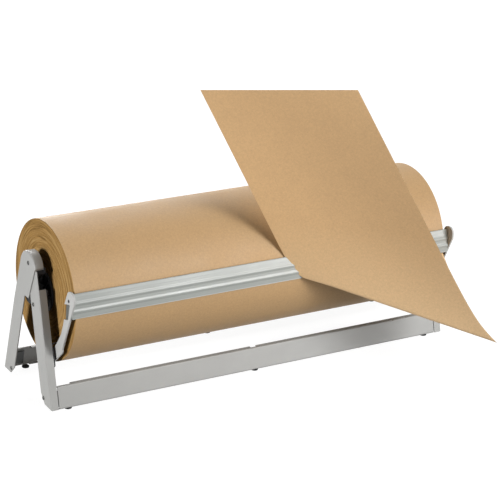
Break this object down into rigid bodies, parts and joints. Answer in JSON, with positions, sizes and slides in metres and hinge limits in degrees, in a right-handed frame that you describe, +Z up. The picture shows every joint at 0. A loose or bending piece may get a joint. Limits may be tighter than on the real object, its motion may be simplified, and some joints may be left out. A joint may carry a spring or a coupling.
{
  "type": "gift wrap paper cutter",
  "caption": "Counter-top dispenser for a wide roll of wrapping paper: sloping pressed-steel side frames, a free-turning spindle and a sprung cutter bar that holds and tears the sheet.",
  "frame": {"origin": "on the counter, under the middle foot of the front rail", "axes": "+X along the roll to the right as seen from the front, +Y from the front to the back, +Z up"},
  "size_m": [0.6664, 0.3764, 0.4705],
  "materials": {
    "frame_paint": "satin light-grey paint",
    "bar_steel": "satin rolled steel",
    "zinc_hardware": "zinc plated",
    "rod_steel": "drawn steel",
    "black_oxide": "black oxide",
    "black_plastic": "moulded, satin",
    "bush_plastic": "moulded",
    "foot_rubber": "matt",
    "kraft_roll": "matt brown wrapping paper",
    "kraft_sheet": "matt brown wrapping paper",
    "core_board": "matt"
  },
  "bodies": {
    "stand": {"left_front_leg": "frame_paint", "right_front_leg": "frame_paint", "left_rear_leg": "frame_paint", "right_rear_leg": "frame_paint", "front_rail": "frame_paint", "rear_rail": "frame_paint", "front_corner_brackets": "zinc_hardware", "rear_corner_brackets": "zinc_hardware", "front_feet": "foot_rubber", "rear_feet": "foot_rubber", "head_rivets": "zinc_hardware", "bearing_rivets": "zinc_hardware", "rail_rivets": "zinc_hardware", "left_bearing_insert": "black_plastic", "right_bearing_insert": "black_plastic", "pivot_studs": "zinc_hardware", "pivot_caps": "zinc_hardware", "arm_springs": "black_oxide", "pulled_sheet": "kraft_sheet"},
    "cutter": {"left_cutter_arm": "frame_paint", "right_cutter_arm": "frame_paint", "arm_bushes": "bush_plastic", "cutter_bar": "bar_steel", "bar_screws": "black_oxide"},
    "roll": {"paper_roll": "kraft_roll", "core_tube": "core_board", "core_plugs": "black_plastic", "spindle_rod": "rod_steel"}
  },
  "joints": [
    {"name": "roll_spin", "type": "hinge", "parent": "stand", "child": "roll", "pos_m": [0, 0.073, 0.151], "axis": [1, 0, 0], "continuous": true},
    {"name": "cutter_swing", "type": "hinge", "parent": "stand", "child": "cutter", "pos_m": [0, 0.028, 0.07], "axis": [1, 0, 0], "range_deg": [0, 90], "stiffness_Nm_per_rad": 0.6, "springref_deg": -68.75, "deforming": ["pulled_sheet", "arm_springs"]}
  ]
}
